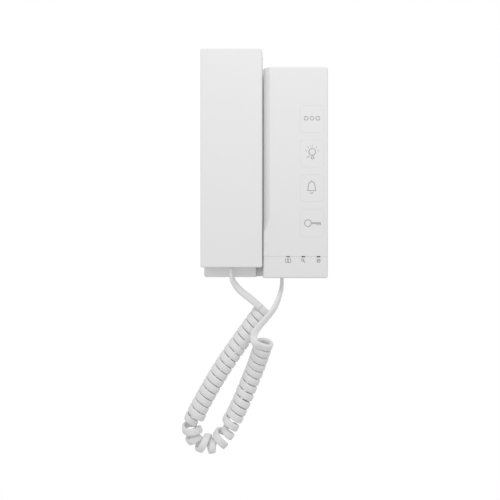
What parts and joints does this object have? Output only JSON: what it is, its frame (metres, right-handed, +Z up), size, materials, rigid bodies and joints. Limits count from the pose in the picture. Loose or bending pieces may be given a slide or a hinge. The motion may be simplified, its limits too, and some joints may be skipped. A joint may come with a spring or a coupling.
{
  "type": "audio intercom handset",
  "caption": "Wall door phone: a slab handset on a wall unit with flush keys, indicator windows and a curly cord hanging from both.",
  "frame": {"origin": "middle of the wall unit's back, on the wall, midway between the two wall screws", "axes": "+X to the viewer's right, +Y into the wall, +Z up; the handset and the keys face -Y"},
  "size_m": [0.1324, 0.0464, 0.3621],
  "materials": {
    "housing": "fine satin moulded white",
    "handset": "fine satin moulded white",
    "keys": "satin white with a pale printed symbol",
    "inner_plastic": "plain moulded off-white",
    "dark_plastic": "plain black",
    "board": "green solder mask",
    "steel": "zinc plated",
    "light_pipe": "smoked clear",
    "lamp": "clear lamp body",
    "terminal_green": "plain green",
    "clear_plug": "milky clear",
    "foam": "open foam",
    "boot_rubber": "soft black rubber",
    "cord": "soft white cord sheath"
  },
  "bodies": {
    "wall_unit": {"front_housing": "housing", "foot_trim": "housing", "rear_plate": "inner_plastic", "key_switches": "dark_plastic", "circuit_board": "board", "indicator_light_pipes": "light_pipe", "indicator_lamps": "lamp", "cover_screws": "steel", "call_sounder": "dark_plastic", "bay_magnet": "steel", "hook_pin": "steel", "hook_switch": "dark_plastic", "terminal_block": "terminal_green", "unit_cord_jack": "dark_plastic", "unit_cord_plug": "clear_plug", "unit_cord_lead": "cord", "curly_cord": "cord", "handset_cord_lead": "cord"},
    "handset": {"handset_front_shell": "handset", "handset_rear_shell": "handset", "handset_screws": "steel", "earpiece_capsule": "dark_plastic", "earpiece_foam_ring": "foam", "microphone_boot": "boot_rubber", "microphone_capsule": "steel", "handset_steel_plate": "steel", "handset_cord_jack": "dark_plastic", "handset_cord_plug": "clear_plug"},
    "hook": {"hook_lever": "housing"},
    "hook_stem": {"hook_switch_stem": "dark_plastic"},
    "auxiliary_button": {"auxiliary_key": "keys", "auxiliary_key_stem": "dark_plastic"},
    "light_button": {"light_key": "keys", "light_key_stem": "dark_plastic"},
    "bell_button": {"bell_key": "keys", "bell_key_stem": "dark_plastic"},
    "door_button": {"door_key": "keys", "door_key_stem": "dark_plastic"}
  },
  "joints": [
    {"name": "handset_lift", "type": "slide", "parent": "wall_unit", "child": "handset", "axis": [0, -1, 0], "range_m": [0, 0.06], "deforming": ["handset_cord_lead"]},
    {"name": "hook_lever_tilt", "type": "hinge", "parent": "wall_unit", "child": "hook", "pos_m": [-0.02915, -0.015, -0.036], "axis": [1, 0, 0], "range_deg": [0, 9.5]},
    {"name": "hook_stem_travel", "type": "slide", "parent": "wall_unit", "child": "hook_stem", "axis": [0, -1, 0], "range_m": [0, 0.0007]},
    {"name": "auxiliary_key_press", "type": "slide", "parent": "wall_unit", "child": "auxiliary_button", "axis": [0, 1, 0], "range_m": [0, 0.0005], "stiffness_N_per_m": 600},
    {"name": "light_key_press", "type": "slide", "parent": "wall_unit", "child": "light_button", "axis": [0, 1, 0], "range_m": [0, 0.0005], "stiffness_N_per_m": 600},
    {"name": "bell_key_press", "type": "slide", "parent": "wall_unit", "child": "bell_button", "axis": [0, 1, 0], "range_m": [0, 0.0005], "stiffness_N_per_m": 600},
    {"name": "door_key_press", "type": "slide", "parent": "wall_unit", "child": "door_button", "axis": [0, 1, 0], "range_m": [0, 0.0005], "stiffness_N_per_m": 600}
  ],
  "couplings": [
    {"joint": "hook_lever_tilt", "follows": "handset_lift", "rad_per_m": 2.75},
    {"joint": "hook_stem_travel", "follows": "handset_lift", "ratio": 0.0116}
  ]
}
